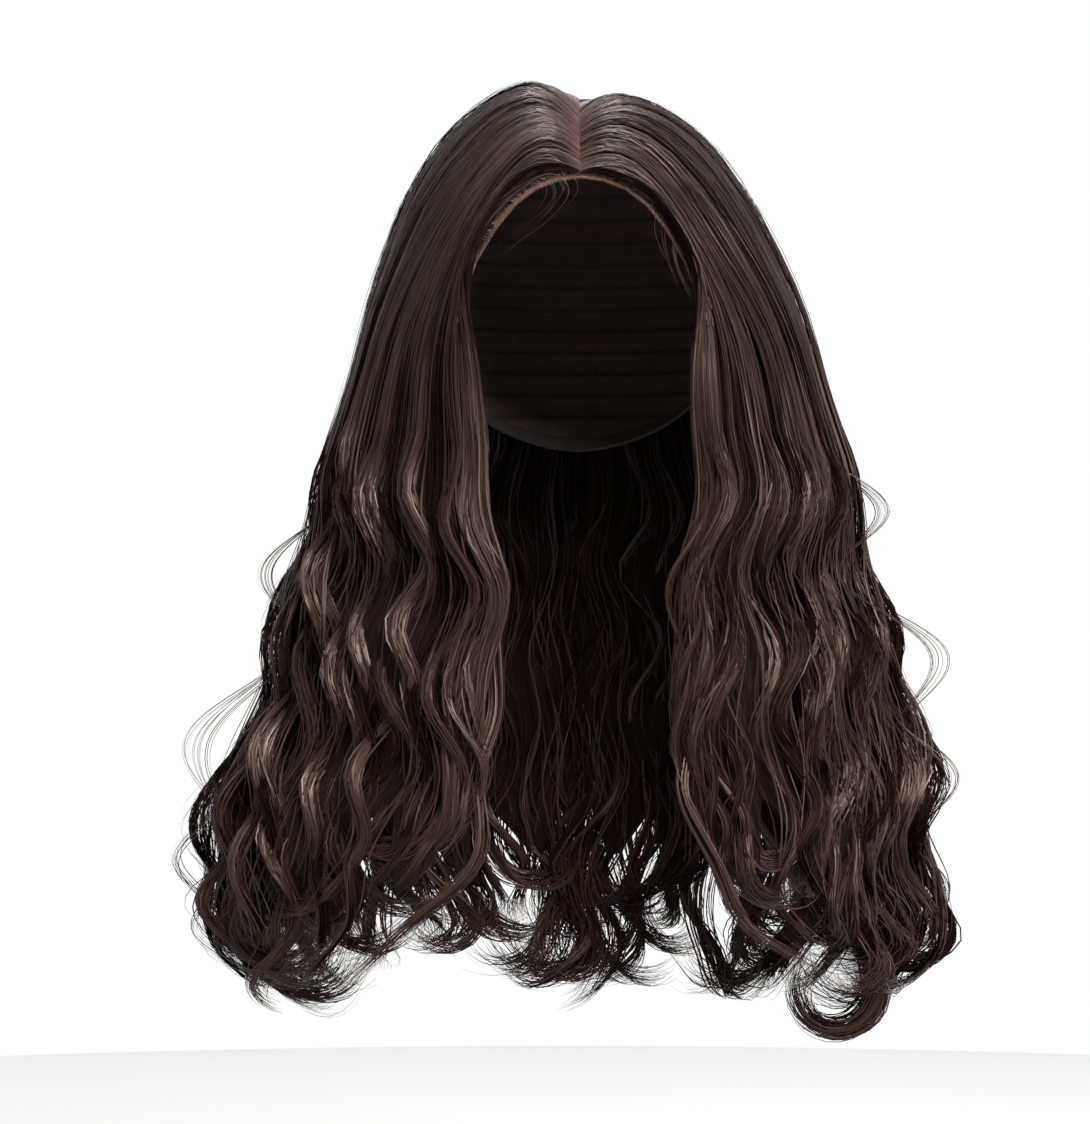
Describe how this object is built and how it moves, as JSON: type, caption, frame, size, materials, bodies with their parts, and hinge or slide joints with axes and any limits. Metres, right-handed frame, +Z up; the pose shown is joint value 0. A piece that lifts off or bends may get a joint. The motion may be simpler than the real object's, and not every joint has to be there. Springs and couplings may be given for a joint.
{
  "type": "lace front wig",
  "caption": "Long dark brown body-wave lace front wig with a centre part, an open net cap and wavy locks that hang round the face opening.",
  "frame": {"origin": "the top of the room for the head, inside the cap", "axes": "+Z up, the face opening looks along -Y, +X is the wearer's left"},
  "size_m": [0.3637, 0.2325, 0.4654],
  "materials": {
    "lace": "sheer matte net",
    "cap_net": "matte stretch net",
    "elastic": "matte woven elastic",
    "hair": "soft sheen along the strands"
  },
  "bodies": {
    "root": {"lace_front": "lace", "cap_net": "cap_net", "nape_band": "elastic", "crown_hair_left": "hair", "crown_hair_right": "hair", "fall_front_left": "hair", "fall_side_left": "hair", "fall_back_left": "hair", "fall_back_right": "hair", "fall_side_right": "hair", "fall_front_right": "hair"}
  },
  "joints": []
}
